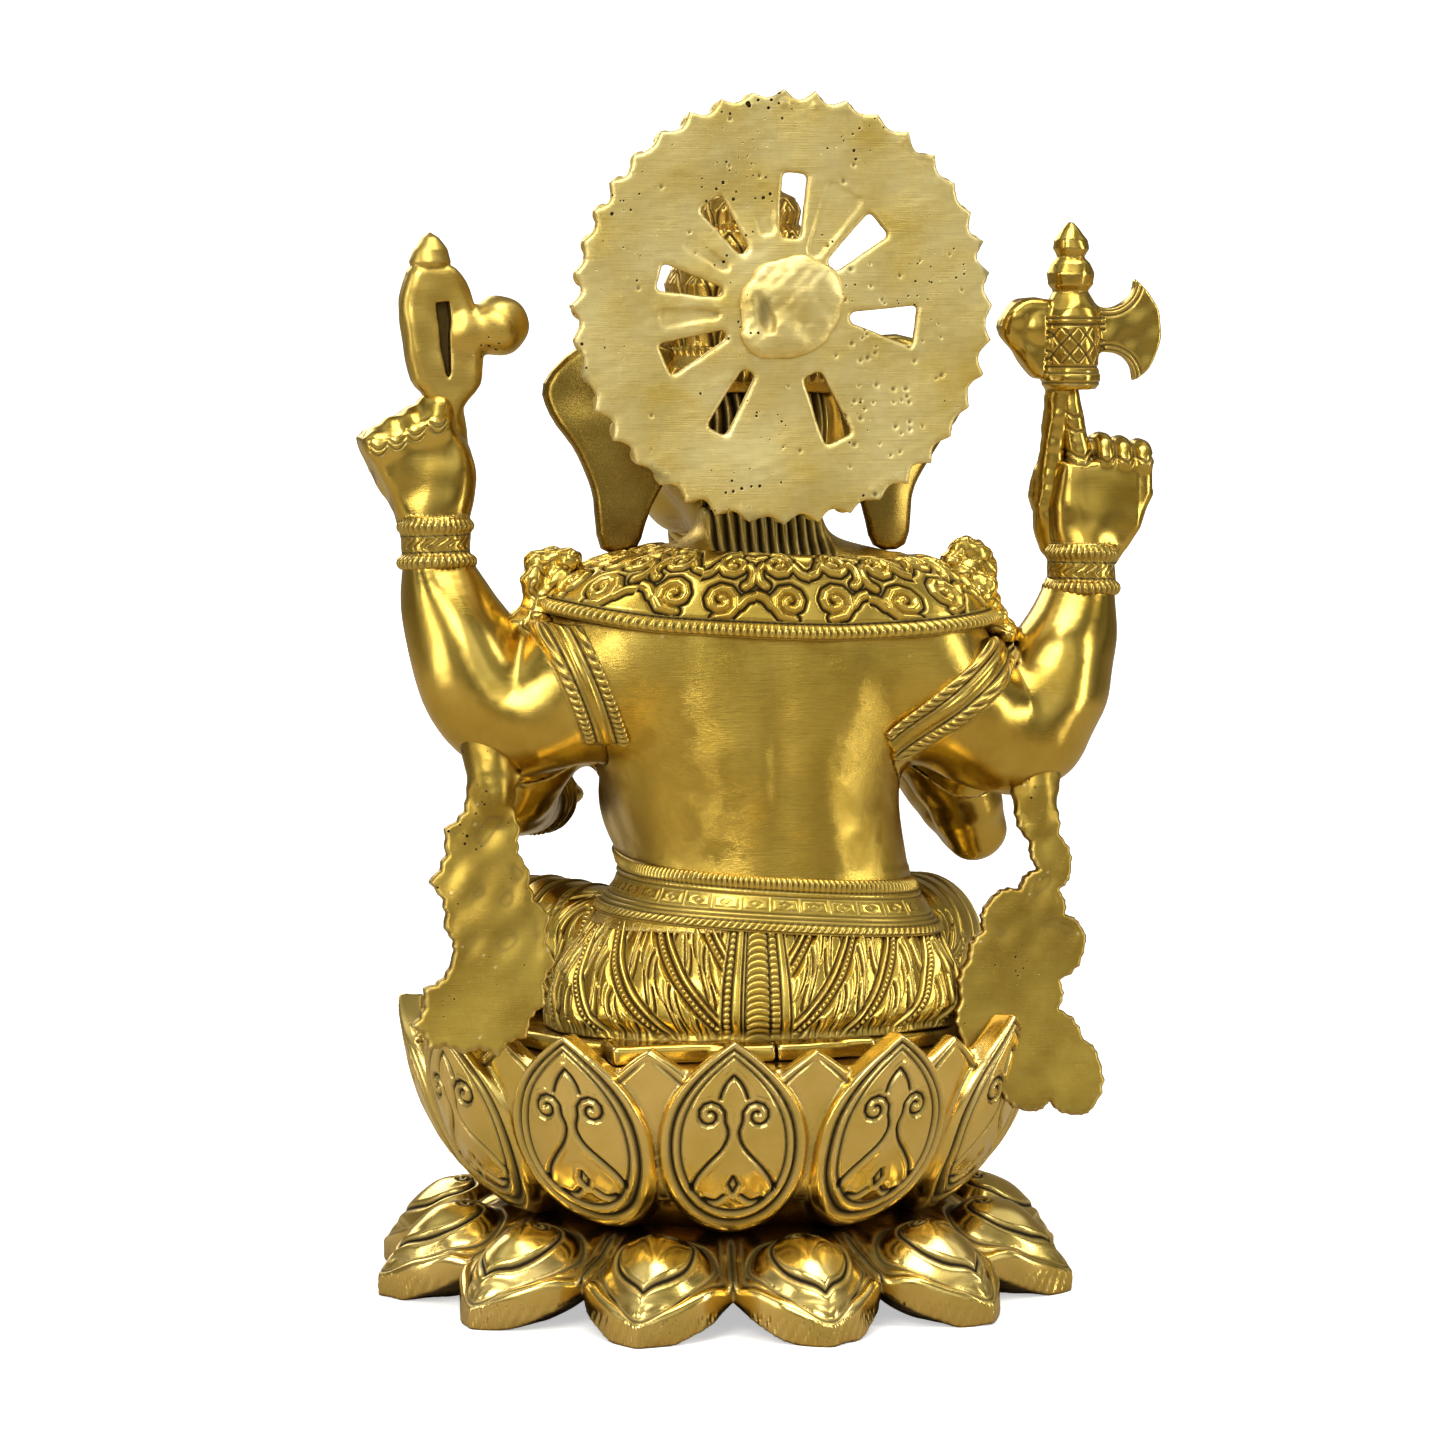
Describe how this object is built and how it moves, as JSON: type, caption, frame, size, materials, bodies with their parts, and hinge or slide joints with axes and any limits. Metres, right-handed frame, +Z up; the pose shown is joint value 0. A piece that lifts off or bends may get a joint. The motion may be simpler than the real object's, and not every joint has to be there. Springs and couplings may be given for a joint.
{
  "type": "seated elephant-headed deity statue",
  "caption": "Brass elephant-headed four-armed deity seated on a double lotus, with a pierced wheel halo, made of brazed castings clamped by a tie bolt.",
  "frame": {"origin": "on the floor, at the centre of the lotus plinth's underside", "axes": "+Z up, the figure faces -Y, the halo stands on the +Y side, and the figure's own left is +X"},
  "size_m": [0.2545, 0.2134, 0.355],
  "materials": {
    "polished_brass": "polished, with faint brush lines",
    "brushed_brass": "coarse brushed over pitted cast skin",
    "chased_brass": "polished high spots with dark lacquer left in the chased lines",
    "plated_steel": "zinc plated"
  },
  "bodies": {
    "root": {"axe": "polished_brass", "clamp_bar": "plated_steel", "crown": "chased_brass", "front_left_arm": "polished_brass", "front_right_arm": "polished_brass", "goad": "brushed_brass", "halo_disc": "brushed_brass", "halo_stub": "brushed_brass", "head": "polished_brass", "left_ear": "brushed_brass", "left_scarf": "brushed_brass", "left_shoulder_boss": "chased_brass", "left_tusk": "polished_brass", "lotus_bowl": "chased_brass", "lotus_plinth": "chased_brass", "lower_body": "chased_brass", "rear_left_arm": "polished_brass", "rear_left_hand": "polished_brass", "rear_right_arm": "polished_brass", "rear_right_hand": "polished_brass", "right_ear": "brushed_brass", "right_scarf": "brushed_brass", "right_shoulder_boss": "chased_brass", "right_tusk": "polished_brass", "seat_slab": "polished_brass", "shoulder_mantle": "chased_brass", "sweet_bowl": "polished_brass", "tie_bolt": "plated_steel", "tie_nut": "plated_steel", "tie_washer": "plated_steel", "torso": "polished_brass", "waist_belt": "chased_brass"}
  },
  "joints": []
}
